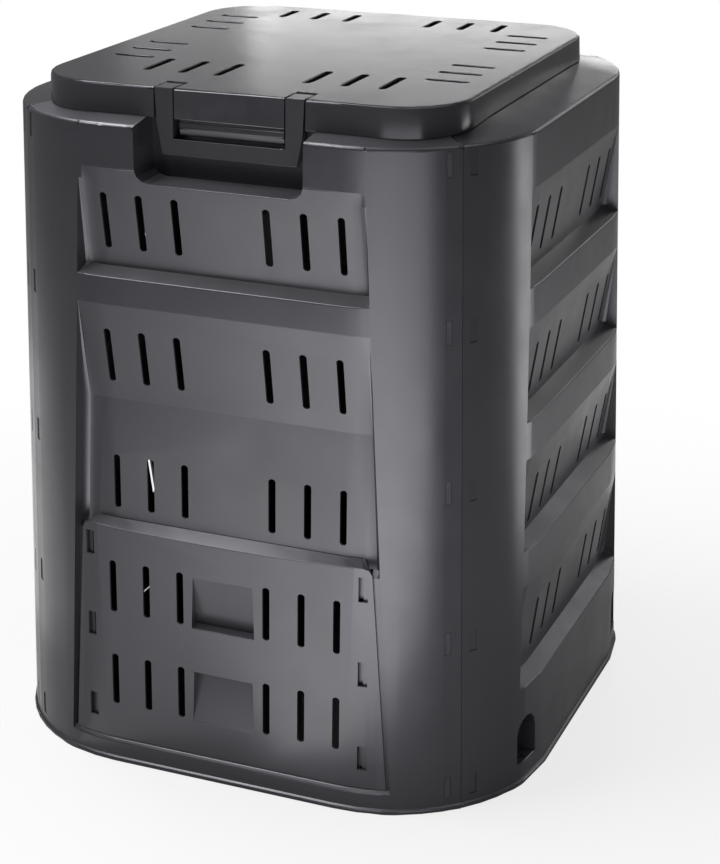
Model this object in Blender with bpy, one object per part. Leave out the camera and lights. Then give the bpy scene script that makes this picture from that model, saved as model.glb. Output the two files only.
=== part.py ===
"""Garden compost bin: four walls that snap together at the corners, a hinged lid with
vent slots, a clasp that swings on the lid and an emptying hatch that slides up.
Metres, +Z up, the hatch faces -Y, the origin is under the middle of the bin."""

import math
from collections import namedtuple

import bmesh
import bpy
from mathutils import Matrix, Vector

# Walls: outline, lean and section; places across a wall are shares of FACE_HALF
FACE_HALF = 0.357
FLAT_SHARE = 0.4258
LEAN_SLOPE = 0.035
WALL_TOP = 0.824
SKIN = 0.003
FOOT_BEAD = 0.003
FOOT_BEAD_HEIGHT = 0.0045
FOOT_BEAD_SLANT = 0.002
SHOULDER_SLOPE = 0.145
SHOULDER_FILLET = 0.004
RIM_HEIGHT = 0.010
RIM_CLEARANCE = 0.0083

# Recessed bays; heights are shares of the wall's height
BAY_EDGE_SHARE = 0.6269
BAY_EDGE_SLOPE = 0.0488
BAY_FILLET = 0.012
BAY_FLAT_SHARE = 0.93
BAY_MIDDLE_SHARE = 0.5
SIDE_BAY_DEPTH = 0.021
LEDGE_RISE = 0.0085
CORNER_LAND = 0.011
SIDE_BAY_TOP_SHARE = 0.9194
SIDE_BAY_PITCH_SHARE = 0.1985
SIDE_BAY_HEIGHT_SHARE = 0.1425
LOWEST_BAY_HEIGHT_SHARE = 0.165
SIDE_BAY_COUNT = 4
FRONT_BAY_TOP_SHARE = 0.9375
FRONT_BAY_LEDGE_SHARE = 0.778
FRONT_PANEL_TOP_SHARE = 0.737
FRONT_PANEL_BEND_SHARE = 0.5856
FRONT_PANEL_DEPTH = 0.022

# Air slots
SLOT_WIDTH = 0.0095
SLOT_CORNER = 0.0026
SLOT_FIRST_SHARE = 0.1633
SLOT_PITCH_SHARE = 0.1305
SLOTS_PER_GROUP = 3
SIDE_SLOT_LENGTH = 0.067
SIDE_SLOT_TOP_SHARE = 0.8883
SIDE_SLOT_PITCH_SHARE = 0.2027
FRONT_SLOT_LENGTH = 0.0695
FRONT_SLOT_TOP_SHARE = 0.8999
FRONT_SLOT_PITCH_SHARE = 0.2015
FRONT_SLOT_ROWS = 3
HATCH_SLOT_TOP_SHARE = 0.335
HATCH_SLOT_PITCH_SHARE = 0.1553
HATCH_SLOT_ROWS = 2

# Snap joints at the corners
SEAM_GAP = 0.0003
LAP_GAP = 0.0004
TONGUE_REACH = 0.028
WINDOW_INSET = 0.014
WINDOW_WIDTH = 0.0083
WINDOW_HEIGHT = 0.029
WINDOW_COUNT = 5
WINDOW_FIRST_SHARE = 0.0365
WINDOW_PITCH_SHARE = 0.2348
TAB_GAP = 0.0005
TAB_RECESS = 0.0006
MARK_INSET = 0.0112
MARK_WIDTH = 0.0104
MARK_DEPTH = 0.0014

# Ground peg niches at the ends of the side and back walls
NICHE_CENTRE_SHARE = 0.5602
NICHE_HALF = 0.023
NICHE_FLOOR = 0.0285
NICHE_HEIGHT = 0.061
NICHE_DEPTH = 0.020
PEG_HOLE_RADIUS = 0.005

# Pocket for the clasp in the front wall, and the catch in it
POCKET_SIDE = 0.0125
POCKET_CORNER = 0.018
POCKET_SINK = 0.0155
POCKET_BEHIND_CLASP = 0.0076
CATCH_SIDE = 0.005
CATCH_HEIGHT = 0.018
CATCH_BITE = 0.0016
CATCH_SLIP = 0.0004
CATCH_RAMP = 0.009
CATCH_LEAD = 0.002

# Hatch opening, its sill and rails
SILL_EDGE = 0.026
SILL_RISE = 0.0034
SILL_STEP = 0.0035
SILL_FALL = 0.0006
RAIL_DEPTH = 0.009
RAIL_WIDTH = 0.0226
RAIL_TOP_DROP = 0.0015
RAIL_RAMP = 0.006

# Hatch
HATCH_DEPTH = 0.004
HATCH_TOP_SHARE = 0.392
HATCH_SIDE_GAP_FOOT = 0.005
HATCH_SIDE_GAP_TOP = 0.010
HATCH_DIP = 0.0055
HATCH_LIP_RISE = 0.004
HATCH_LIP_INSET = 0.024
HATCH_CORNER = 0.010
HATCH_COLUMN_SHARES = (0.0, 0.25, 0.5, 0.76, 0.88, 0.94, 0.98, 1.0)
HATCH_DROP_SHARES = (0.0, 0.0, 0.0, 0.0, 0.0, 0.06, 0.35, 1.0)
RAIL_PLAY = 0.0006
LIP_PLAY = 0.0005
HOOK_INSET = 0.0095
HOOK_LEG = 0.0035
HOOK_WINDOW = 0.0125
HOOK_TIP_GAP = 0.001
HOOK_THICKNESS = 0.003
HOOK_CENTRE_SHARES = (0.0862, 0.223, 0.3574)
HOOK_WINDOW_HEIGHT = 0.032
PULL_HALF = 0.040
PULL_FLARE = 0.0025
PULL_DEPTH = 0.016
UPPER_PULL_TOP_SHARE = 0.3301
LOWER_PULL_TOP_SHARE = 0.1754
PULL_HEIGHT = 0.068

# Lid
LID_SIDE_INSET = 0.0617
LID_FRONT_INSET = 0.0332
LID_REAR_INSET = 0.0571
LID_HEIGHT = 0.040
LID_CORNER_SHARE = 0.2325
LID_FLAT_SHARE = 0.97
LID_EDGE_RADIUS = 0.004
LID_SEAT_GAP = 0.0005
LID_FRONT_SLOT_SHARE = 0.2073
LID_REAR_SLOT_SHARE = 0.1513
LID_SIDE_SLOT_SHARE = 0.1541
LID_FRONT_SLOT_INSET_SHARE = 0.2381
LID_REAR_SLOT_INSET_SHARE = 0.0924
LID_SIDE_SLOT_INSET_SHARE = 0.0938
LID_SIDE_SLOT_SHIFT_SHARE = 0.0448

# Lid hinge: hooks on the lid round pins on the back wall
HINGE_PLACE_SHARE = 0.3922
HINGE_HOOK_WIDTH = 0.037
HINGE_REACH = 0.015
HINGE_RISE = 0.0122
HINGE_RADIUS = 0.008
HINGE_PIN_RADIUS = 0.004
HINGE_PIN_GAP = 0.0004
HINGE_EAR = 0.004
HINGE_MOUTH = 0.0064

# Clasp
CLASP_TOP_HALF = 0.094
CLASP_ARM = 0.023
CLASP_DROP = 0.078
CLASP_BAR = 0.020
CLASP_FOOT_SETBACK = 0.009
CLASP_WAIST_SHARE = 0.2
CLASP_THICKNESS = 0.0086
CLASP_RETURN = 0.0305
CLASP_PIVOT_DROP = 0.0048
CLASP_PIVOT_RADIUS = 0.0037
CLASP_TOP_SETBACK = 0.0035
CLASP_BAR_DROP = 0.005
CLASP_RETURN_TURN = 60
CLASP_SIDE_GAP = 0.0016
CLASP_REAR_GAP = 0.0025
CLASP_SEAT_GAP = 0.0003
CLASP_PIN_RADIUS = 0.0024
CLASP_PIN_REACH = 0.0036
CLASP_PIN_GAP = 0.0003
CATCH_GAP = 0.002

# Shared by every cut and every welded pad
OVERRUN = 0.006
WELD = 0.0015
MERGE = 1e-6
ARC_STEPS = 8
NICHE_STEPS = 6
CORNER_STEPS = 3
FILLET_STEPS = 3
ROUND_STEPS = 12
SMOOTH_ANGLE = math.radians(30)
FLAT_ANGLE = math.radians(0.05)

FLAT_HALF = FLAT_SHARE * FACE_HALF
BAY_EDGE_HALF = BAY_EDGE_SHARE * FACE_HALF
SLOT_FIRST = SLOT_FIRST_SHARE * FACE_HALF
SLOT_PITCH = SLOT_PITCH_SHARE * FACE_HALF
NICHE_CENTRE = NICHE_CENTRE_SHARE * FACE_HALF
HINGE_PLACE = HINGE_PLACE_SHARE * FACE_HALF
LID_CORNER = LID_CORNER_SHARE * FACE_HALF
CORNER_RADIUS = FACE_HALF - FLAT_HALF
SEAM = FLAT_HALF + CORNER_RADIUS * math.pi / 4
CROWN_HALF = FACE_HALF - LEAN_SLOPE * WALL_TOP
RIM_DEPTH = LID_SIDE_INSET + RIM_CLEARANCE
LID_TOP = WALL_TOP + LID_HEIGHT
LID_HALF = CROWN_HALF - LID_SIDE_INSET
LID_FRONT = CROWN_HALF - LID_FRONT_INSET
LID_REAR = CROWN_HALF - LID_REAR_INSET
POCKET_DEPTH = LID_FRONT_INSET - LEAN_SLOPE * LID_HEIGHT + CLASP_THICKNESS + POCKET_BEHIND_CLASP
CLASP_INNER_HALF = CLASP_TOP_HALF - CLASP_ARM
POCKET_HALF = CLASP_TOP_HALF + POCKET_SIDE
CATCH_HALF = CLASP_INNER_HALF - CATCH_SIDE
POCKET_FLOOR = FRONT_BAY_TOP_SHARE * WALL_TOP - POCKET_SINK
CLASP_BAR_TOP = LID_TOP - CLASP_DROP + CLASP_BAR
SILL_TOP = SILL_EDGE + SILL_RISE
HATCH_FOOT = SILL_TOP + SILL_FALL + SEAM_GAP
HATCH_TOP = HATCH_TOP_SHARE * WALL_TOP
RAIL_TOP = HATCH_TOP - HATCH_CORNER - SKIN - RAIL_TOP_DROP

DARK_GREY = (0.047, 0.048, 0.052, 1.0)
LID_GREY = (0.055, 0.056, 0.061, 1.0)
CLASP_GREY = (0.040, 0.041, 0.045, 1.0)
BODY_ROUGHNESS = 0.42
LID_ROUGHNESS = 0.36

Row = namedtuple("Row", "z depth inner_z inner_depth bay pocket")
Bay = namedtuple("Bay", "depth drop square")


# Wall coordinates

def wall_point(u, z, depth):
    """Point of a wall that faces -Y: u along its outline at the ground, z up,
    depth behind its leaning face."""
    inset = LEAN_SLOPE * z + depth
    side = math.copysign(1.0, u)
    reach = abs(u)
    if reach <= FLAT_HALF:
        return Vector((u, inset - FACE_HALF, z))
    turn = (reach - FLAT_HALF) / CORNER_RADIUS
    radius = CORNER_RADIUS - inset
    across = FLAT_HALF + radius * math.sin(turn)
    return Vector((side * across, -FLAT_HALF - radius * math.cos(turn), z))


def shoulder_z(depth):
    """Height of the sloping shoulder at a depth behind the wall's face."""
    lean = math.atan(SHOULDER_SLOPE)
    start = SHOULDER_FILLET * (1 - math.sin(lean))
    height = WALL_TOP - SHOULDER_FILLET * (1 - math.cos(lean))
    return height + SHOULDER_SLOPE * (depth - start)


def crown_inset(x, y):
    """Depth of a point seen from above behind the outline of the walls' top edge."""
    over_x = abs(x) - FLAT_HALF
    over_y = abs(y) - FLAT_HALF
    if over_x > 0 and over_y > 0:
        return CROWN_HALF - FLAT_HALF - math.hypot(over_x, over_y)
    return CROWN_HALF - max(abs(x), abs(y))


def bay_edge(z):
    """Half width of the bays and the hatch recess at a height."""
    return BAY_EDGE_HALF - BAY_EDGE_SLOPE * z


RAIL_HALF = bay_edge(RAIL_TOP) - RAIL_WIDTH
HINGE_Y = LID_REAR + HINGE_REACH
HINGE_Z = shoulder_z(CROWN_HALF - HINGE_Y) + HINGE_RISE
PIVOT_Y = -LID_FRONT + CLASP_RETURN
PIVOT_Z = LID_TOP - CLASP_PIVOT_DROP


# Objects and materials

def clear_scene():
    for thing in list(bpy.data.objects):
        bpy.data.objects.remove(thing, do_unlink=True)


def plastic(name, colour, roughness):
    material = bpy.data.materials.new(name)
    material.use_nodes = True
    shader = material.node_tree.nodes["Principled BSDF"]
    shader.inputs["Base Color"].default_value = colour
    shader.inputs["Roughness"].default_value = roughness
    shader.inputs["Metallic"].default_value = 0.0
    return material


def mesh_object(name, bm, material=None, origin=(0, 0, 0), spin=0.0):
    """Object for a mesh built in place; its origin is put on its joint's axis."""
    bmesh.ops.recalc_face_normals(bm, faces=bm.faces)
    bm.transform(Matrix.Translation(-Vector(origin)))
    mesh = bpy.data.meshes.new(name)
    bm.to_mesh(mesh)
    bm.free()
    mesh.shade_smooth()
    mesh.set_sharp_from_angle(angle=SMOOTH_ANGLE)
    thing = bpy.data.objects.new(name, mesh)
    thing.location = origin
    thing.rotation_euler = (0, 0, spin)
    if material:
        mesh.materials.append(material)
    bpy.context.collection.objects.link(thing)
    return thing


def join_shape(thing, suffix, bm, operation):
    """Unite or cut a piece with a hidden shape that is built in the same place."""
    shape = mesh_object(f"{thing.name}_{suffix}", bm)
    shape.location = -thing.location
    shape.parent = thing
    shape.hide_render = True
    shape.display_type = "WIRE"
    boolean = thing.modifiers.new(suffix, "BOOLEAN")
    boolean.object = shape
    boolean.operation = operation


# Closed bodies

def add_prism(bm, front, back):
    """Closed body between two outlines with the same number of points."""
    first = [bm.verts.new(point) for point in front]
    second = [bm.verts.new(point) for point in back]
    bm.faces.new(first)
    bm.faces.new(reversed(second))
    for k in range(len(first)):
        after = (k + 1) % len(first)
        bm.faces.new((first[after], first[k], second[k], second[after]))


def add_wall_prism(bm, outline, near, far):
    """Prism through a wall: an outline of (u, z) points between two depths."""
    add_prism(bm, [wall_point(u, z, near) for u, z in outline],
              [wall_point(u, z, far) for u, z in outline])


def add_side_prism(bm, outline, left, right):
    """Prism along X: an outline of (y, z) points between two places."""
    add_prism(bm, [(left, y, z) for y, z in outline], [(right, y, z) for y, z in outline])


def rectangle(left, right, low, high):
    return [(left, low), (right, low), (right, high), (left, high)]


def slot_outline(centre_u, centre_z, width, length, corner):
    """Rectangle with its corners cut off."""
    half_u = width / 2
    half_z = length / 2
    short_u = half_u - corner
    short_z = half_z - corner
    turns = ((1, short_u, half_z), (1, half_u, short_z), (1, half_u, -short_z),
             (1, short_u, -half_z), (-1, short_u, -half_z), (-1, half_u, -short_z),
             (-1, half_u, short_z), (-1, short_u, half_z))
    return [(centre_u + side * du, centre_z + dz) for side, du, dz in turns]


def arc(centre, radius, start, end, steps):
    """Points of an arc, both ends included; angles in degrees."""
    points = []
    for k in range(steps + 1):
        angle = math.radians(start + (end - start) * k / steps)
        points.append((centre[0] + radius * math.cos(angle),
                       centre[1] + radius * math.sin(angle)))
    return points


def circle(centre, radius):
    return arc(centre, radius, 0, 360, ROUND_STEPS)[:-1]


def skin_body(columns, is_open, to_point):
    """Closed skin over a grid of columns of (outer, inner) nodes; open cells are
    holes through it. Cells are split the same way on both sides, mirrored in the middle."""
    bm = bmesh.new()
    outer = [[bm.verts.new(to_point(*node[0])) for node in column] for column in columns]
    inner = [[bm.verts.new(to_point(*node[1])) for node in column] for column in columns]
    last_i = len(columns) - 1
    last_j = len(columns[0]) - 1

    def solid(i, j):
        return 0 <= i < last_i and 0 <= j < last_j and not is_open(i, j)

    for i in range(last_i):
        for j in range(last_j):
            if not solid(i, j):
                continue
            loop = ((i, j), (i + 1, j), (i + 1, j + 1), (i, j + 1))
            neighbours = ((i, j - 1), (i + 1, j), (i, j + 1), (i - 1, j))
            first = 1 if i < len(columns) // 2 else 0
            for start in (first, first + 2):
                corners = [loop[(start + k) % len(loop)] for k in range(3)]
                bm.faces.new([outer[p][q] for p, q in corners])
                bm.faces.new([inner[p][q] for p, q in reversed(corners)])
            for k, beside in enumerate(neighbours):
                if solid(*beside):
                    continue
                p, q = loop[k]
                r, s = loop[(k + 1) % len(loop)]
                bm.faces.new((outer[r][s], outer[p][q], inner[p][q], inner[r][s]))
    bmesh.ops.remove_doubles(bm, verts=bm.verts, dist=MERGE)
    bmesh.ops.dissolve_limit(bm, angle_limit=FLAT_ANGLE, verts=bm.verts, edges=bm.edges)
    return bm


# Rows of a wall, from the ground up

def face_row(z, depth=0.0, bay=None, pocket=None):
    return Row(z, depth, z, SKIN, bay, pocket)


def foot_rows():
    slant = FOOT_BEAD_HEIGHT + FOOT_BEAD_SLANT
    return [face_row(0.0, -FOOT_BEAD), face_row(FOOT_BEAD_HEIGHT, -FOOT_BEAD), face_row(slant)]


def crown_rows():
    """Rounded top edge, sloping shoulder and upright rim round the mouth."""
    rows = []
    sweep = math.pi / 2 - math.atan(SHOULDER_SLOPE)
    inner_radius = SHOULDER_FILLET - SKIN
    for k in range(FILLET_STEPS + 1):
        angle = sweep * k / FILLET_STEPS
        rows.append(Row(WALL_TOP - SHOULDER_FILLET * (1 - math.sin(angle)),
                        SHOULDER_FILLET * (1 - math.cos(angle)),
                        WALL_TOP - SHOULDER_FILLET + inner_radius * math.sin(angle),
                        SHOULDER_FILLET - inner_radius * math.cos(angle), None, "back"))
    under = shoulder_z(RIM_DEPTH) - SKIN
    rows.append(Row(shoulder_z(POCKET_DEPTH), POCKET_DEPTH,
                    shoulder_z(POCKET_DEPTH) - SKIN, POCKET_DEPTH, None, "shoulder"))
    rows.append(Row(shoulder_z(RIM_DEPTH), RIM_DEPTH, under, RIM_DEPTH + SKIN, None, None))
    rim = shoulder_z(RIM_DEPTH) + RIM_HEIGHT
    rows.append(Row(rim, RIM_DEPTH, rim, RIM_DEPTH + SKIN, None, None))
    return rows


def bay_rows(ledge_z, top_z, depth):
    """Ledge that slopes out and a panel that slopes back from the face to it."""
    return [face_row(ledge_z, bay=Bay(0.0, SKIN, False)),
            face_row(ledge_z + LEDGE_RISE, bay=Bay(depth, SKIN, False)),
            face_row(top_z, bay=Bay(0.0, 0.0, False))]


def side_rows():
    rows = foot_rows()
    for k in reversed(range(SIDE_BAY_COUNT)):
        top = (SIDE_BAY_TOP_SHARE - SIDE_BAY_PITCH_SHARE * k) * WALL_TOP
        lowest = k == SIDE_BAY_COUNT - 1
        height = LOWEST_BAY_HEIGHT_SHARE if lowest else SIDE_BAY_HEIGHT_SHARE
        rows += bay_rows(top - height * WALL_TOP, top, SIDE_BAY_DEPTH)
    return rows + crown_rows()


def front_bay_depth(z):
    """Depth of the upper front bay's sloping panel at a height."""
    top = FRONT_BAY_TOP_SHARE * WALL_TOP
    foot = FRONT_BAY_LEDGE_SHARE * WALL_TOP + LEDGE_RISE
    return SIDE_BAY_DEPTH * max(0.0, top - z) / (top - foot)


def front_rows():
    """Rows of the front wall, and the indices of those that bound the hatch opening."""
    bay_top = FRONT_BAY_TOP_SHARE * WALL_TOP
    rows = foot_rows()
    rows.append(face_row(SILL_EDGE, bay=Bay(0.0, SKIN, True)))
    rows.append(face_row(SILL_TOP, bay=Bay(SILL_STEP, SKIN, True)))
    low = len(rows)
    rows.append(face_row(SILL_TOP + SILL_FALL, bay=Bay(RAIL_DEPTH, SKIN, True)))
    rows.append(face_row(RAIL_TOP, bay=Bay(RAIL_DEPTH, SKIN, True)))
    rows.append(face_row(RAIL_TOP + RAIL_RAMP, bay=Bay(FRONT_PANEL_DEPTH, SKIN, False)))
    rows.append(face_row(FRONT_PANEL_BEND_SHARE * WALL_TOP,
                         bay=Bay(FRONT_PANEL_DEPTH, 0.0, False)))
    rows.append(face_row(FRONT_PANEL_TOP_SHARE * WALL_TOP, bay=Bay(0.0, 0.0, False)))
    ledge = FRONT_BAY_LEDGE_SHARE * WALL_TOP
    rows.append(face_row(ledge, bay=Bay(0.0, SKIN, False)))
    rows.append(face_row(ledge + LEDGE_RISE, bay=Bay(SIDE_BAY_DEPTH, SKIN, False)))
    rows.append(face_row(POCKET_FLOOR, pocket="lip",
                         bay=Bay(front_bay_depth(POCKET_FLOOR), 0.0, False)))
    rows.append(face_row(bay_top, bay=Bay(0.0, 0.0, False), pocket="lip"))
    rows.append(face_row((bay_top + WALL_TOP) / 2, pocket="floor"))
    return rows + crown_rows(), low


# Columns of a wall, from its middle outwards

def face_node(u, row, shift=0.0):
    return (u, row.z, row.depth), (u + shift, row.inner_z, row.inner_depth)


def bay_node(row, angle):
    """Node on the rounding between a bay's side and its panel; angle 0 is at the side."""
    u = bay_edge(row.z) - BAY_FILLET * (1 - math.cos(angle))
    shift = SKIN * math.cos(angle)
    if row.bay is None:
        return face_node(u, row, shift)
    depth = row.bay.depth
    sink = SKIN if row.bay.square else SKIN * math.sin(angle)
    if not row.bay.square:
        depth = max(0.0, depth - BAY_FILLET * (1 - math.sin(angle)))
    return (u, row.z, depth), (u + shift, row.z - row.bay.drop, max(SKIN, depth + sink))


def panel_node(row, share, around_opening=None):
    """Node on a bay's panel; share 0 is at the end of the flat, 1 at the rounding."""
    rounding = bay_edge(row.z) - BAY_FILLET
    flat = min(FLAT_HALF, BAY_FLAT_SHARE * rounding)
    u = flat + (rounding - flat) * share
    if around_opening is not None and share > 0:
        u = around_opening
    if row.bay is None:
        return face_node(u, row)
    return (u, row.z, row.bay.depth), (u, row.z - row.bay.drop, row.bay.depth + SKIN)


def corner_columns(rows):
    """Columns from the bay's edge round to the seam."""
    land = BAY_EDGE_HALF + CORNER_LAND
    columns = [[face_node(bay_edge(row.z), row, SKIN) for row in rows]]
    columns.append([face_node((bay_edge(row.z) + land) / 2, row) for row in rows])
    for k in range(CORNER_STEPS + 1):
        u = land + (SEAM - SEAM_GAP - land) * k / CORNER_STEPS
        columns.append([face_node(u, row) for row in rows])
    return columns


def bay_columns(rows, opening=()):
    """Columns of one half of the bays, from the end of the flat to the bay's side."""
    columns = [[panel_node(row, 0.0) for row in rows]]
    if opening:
        columns.append([panel_node(row, BAY_MIDDLE_SHARE, RAIL_HALF if j in opening else None)
                        for j, row in enumerate(rows)])
    for k in reversed(range(FILLET_STEPS + 1)):
        angle = math.pi / 2 * k / FILLET_STEPS
        columns.append([bay_node(row, angle) for row in rows])
    return columns


def pocket_node(row, u, angle):
    """Node of the clasp pocket; angle 0 is on its floor, a right angle at its side."""
    floor = POCKET_FLOOR + POCKET_SINK * (1 - math.cos(angle))
    shift = SKIN * math.sin(angle)
    drop = SKIN * math.cos(angle)
    if row.pocket == "lip":
        depth = front_bay_depth(floor)
        return (u, floor, depth), (u + shift, floor - drop, depth + SKIN)
    if row.pocket == "floor":
        return (u, floor, POCKET_DEPTH), (u + shift, floor - drop, POCKET_DEPTH + SKIN)
    if row.pocket == "back":
        return (u, row.z, POCKET_DEPTH), (u + shift, row.inner_z, POCKET_DEPTH + SKIN)
    if row.pocket == "shoulder":
        back = POCKET_DEPTH + SKIN
        return (u, row.z, POCKET_DEPTH), (u + shift, shoulder_z(back) - SKIN, back)
    if row.bay is None:
        return face_node(u, row)
    return (u, row.z, row.bay.depth), (u, row.z - row.bay.drop, row.bay.depth + SKIN)


def pocket_edge_node(row):
    """Node of the pocket's upright outer edge."""
    u = POCKET_HALF
    if row.pocket in ("lip", "floor"):
        return pocket_node(row._replace(pocket="lip"), u, math.pi / 2)
    if row.pocket in ("back", "shoulder"):
        return face_node(u, row, SKIN)
    return pocket_node(row, u, 0.0)


def pocket_columns(rows):
    """Columns of half of the clasp pocket, from its floor's end to its outer edge."""
    columns = []
    for k in range(FILLET_STEPS + 1):
        angle = math.pi / 2 * k / FILLET_STEPS
        u = POCKET_HALF - POCKET_CORNER * (1 - math.sin(angle))
        columns.append([pocket_node(row, u, angle) for row in rows])
    columns.append([pocket_edge_node(row) for row in rows])
    return columns


def mirrored(columns):
    """The same columns on the left half, leftmost first."""
    return [[((-a[0], a[1], a[2]), (-b[0], b[1], b[2])) for a, b in column]
            for column in reversed(columns)]


def tongue_columns(rows):
    """Step behind the neighbouring wall and the tongue that laps inside it."""
    end = SEAM - SEAM_GAP
    tip = SEAM + TONGUE_REACH
    depth = SKIN + LAP_GAP
    columns = [[((-tip, row.z, depth), (-tip, row.z, depth + SKIN)) for row in rows],
               [((-end, row.z, depth), (SKIN - end, row.z, depth + SKIN)) for row in rows]]
    face = [((-end, row.z, row.depth), (SKIN - end, row.inner_z, row.inner_depth))
            for row in rows]
    return columns, face


def wall_body(rows, half, hole=None):
    """Skin of a whole wall; half holds its right half's columns."""
    tongue, face = tongue_columns(rows)
    columns = mirrored(half) + half
    columns = tongue + [face] + columns[1:]
    top_row = rows.index(next(row for row in rows if row.pocket == "back"))

    def is_open(i, j):
        if i < 2 and j >= top_row:
            return True
        return hole is not None and hole(i, j, len(columns))

    return skin_body(columns, is_open, wall_point)


# Snap joints and niches

def window_heights():
    return [(WINDOW_FIRST_SHARE + WINDOW_PITCH_SHARE * k) * WALL_TOP
            for k in range(WINDOW_COUNT)]


def add_corner_tabs(bm):
    """Tabs on the tongue that stand in the neighbour's windows."""
    near = SEAM + WINDOW_INSET + TAB_GAP
    far = SEAM + WINDOW_INSET + WINDOW_WIDTH - TAB_GAP
    half = WINDOW_HEIGHT / 2 - TAB_GAP
    for z in window_heights():
        add_wall_prism(bm, rectangle(-far, -near, z - half, z + half),
                       TAB_RECESS, SKIN + LAP_GAP + WELD)


def add_corner_cuts(bm):
    """Windows at the right end and shallow finger marks at the left end."""
    right = SEAM - WINDOW_INSET
    half = WINDOW_HEIGHT / 2
    left = -SEAM + MARK_INSET
    for z in window_heights():
        add_wall_prism(bm, rectangle(right - WINDOW_WIDTH, right, z - half, z + half),
                       -OVERRUN, SKIN + OVERRUN)
        add_wall_prism(bm, rectangle(left, left + MARK_WIDTH, z - half, z + half),
                       -OVERRUN, MARK_DEPTH)


def niche_outline(centre, grow):
    """Arched doorway shape, grown all round by a thickness."""
    half = NICHE_HALF + grow
    foot = NICHE_FLOOR - grow
    springing = NICHE_FLOOR + NICHE_HEIGHT - NICHE_HALF
    return ([(centre - half, foot), (centre + half, foot)]
            + arc((centre, springing), half, 0, 180, NICHE_STEPS))


def add_niche_pans(bm):
    for side in (-1, 1):
        add_wall_prism(bm, niche_outline(side * NICHE_CENTRE, SKIN),
                       WELD, NICHE_DEPTH + SKIN)


def add_niche_cuts(bm):
    """Hollow of each niche."""
    for side in (-1, 1):
        add_wall_prism(bm, niche_outline(side * NICHE_CENTRE, 0.0), -OVERRUN, NICHE_DEPTH)


def add_peg_holes(bm):
    """Upright hole for a ground peg through each niche's floor."""
    for side in (-1, 1):
        ring = circle((side * NICHE_CENTRE, NICHE_DEPTH / 2), PEG_HOLE_RADIUS)
        low = NICHE_FLOOR - SKIN - OVERRUN
        high = NICHE_FLOOR + OVERRUN
        add_prism(bm, [wall_point(u, low, depth) for u, depth in ring],
                  [wall_point(u, high, depth) for u, depth in ring])


def add_slot_row(bm, centre_z, length, near, far):
    """Two groups of air slots in one row."""
    for side in (-1, 1):
        for k in range(SLOTS_PER_GROUP):
            u = side * (SLOT_FIRST + SLOT_PITCH * k)
            outline = slot_outline(u, centre_z, SLOT_WIDTH, length, SLOT_CORNER)
            add_wall_prism(bm, outline, near, far)


# Walls

def side_wall(name, material, spin):
    rows = side_rows()
    half = bay_columns(rows) + corner_columns(rows)
    wall = mesh_object(name, wall_body(rows, half), material, spin=spin)
    pads = bmesh.new()
    add_corner_tabs(pads)
    add_niche_pans(pads)
    join_shape(wall, "pads", pads, "UNION")
    cuts = bmesh.new()
    add_corner_cuts(cuts)
    add_niche_cuts(cuts)
    for k in range(SIDE_BAY_COUNT):
        top = (SIDE_SLOT_TOP_SHARE - SIDE_SLOT_PITCH_SHARE * k) * WALL_TOP
        add_slot_row(cuts, top - SIDE_SLOT_LENGTH / 2, SIDE_SLOT_LENGTH,
                     -OVERRUN, SIDE_BAY_DEPTH + SKIN + OVERRUN)
    join_shape(wall, "cuts", cuts, "DIFFERENCE")
    holes = bmesh.new()
    add_peg_holes(holes)
    join_shape(wall, "peg_holes", holes, "DIFFERENCE")
    return wall


def hinge_outline(foot):
    """Upright ear with a round head on the hinge axis, facing the bin's front."""
    head = arc((-HINGE_Y, HINGE_Z), HINGE_RADIUS, 0, 180, ARC_STEPS)
    return head + [(-HINGE_Y - HINGE_RADIUS, foot), (-HINGE_Y + HINGE_RADIUS, foot)]


def add_hinge_ears(bm):
    inner = HINGE_HOOK_WIDTH / 2 + HINGE_PIN_GAP
    foot = shoulder_z(CROWN_HALF - HINGE_Y - HINGE_RADIUS) - WELD
    for side in (-1, 1):
        for end in (-1, 1):
            near = side * HINGE_PLACE + end * inner
            far = near + end * HINGE_EAR
            add_side_prism(bm, hinge_outline(foot), min(near, far), max(near, far))


def add_hinge_pins(bm):
    half = HINGE_HOOK_WIDTH / 2 + HINGE_PIN_GAP + WELD
    for side in (-1, 1):
        place = side * HINGE_PLACE
        add_side_prism(bm, circle((-HINGE_Y, HINGE_Z), HINGE_PIN_RADIUS),
                       place - half, place + half)


def back_wall(material):
    wall = side_wall("back_wall", material, math.pi)
    ears = bmesh.new()
    add_hinge_ears(ears)
    join_shape(wall, "hinge_ears", ears, "UNION")
    pins = bmesh.new()
    add_hinge_pins(pins)
    join_shape(wall, "hinge_pins", pins, "UNION")
    return wall


def catch_section():
    """Section of the catch: a steep ramp pushes the clasp's bar out when the lid is pulled
    up, and a slant above leads it in when the lid comes down."""
    low = CLASP_BAR_TOP + CATCH_GAP
    high = low + CATCH_HEIGHT
    root = POCKET_DEPTH + WELD
    bar_back = POCKET_DEPTH - POCKET_BEHIND_CLASP
    face = bar_back - CATCH_BITE
    corners = ((low, root), (low, bar_back + CATCH_SLIP), (low + CATCH_RAMP, face),
               (high - CATCH_LEAD, face), (high, face + CATCH_LEAD), (high, root))
    return [tuple(wall_point(0.0, z, depth).yz) for z, depth in corners]


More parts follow.
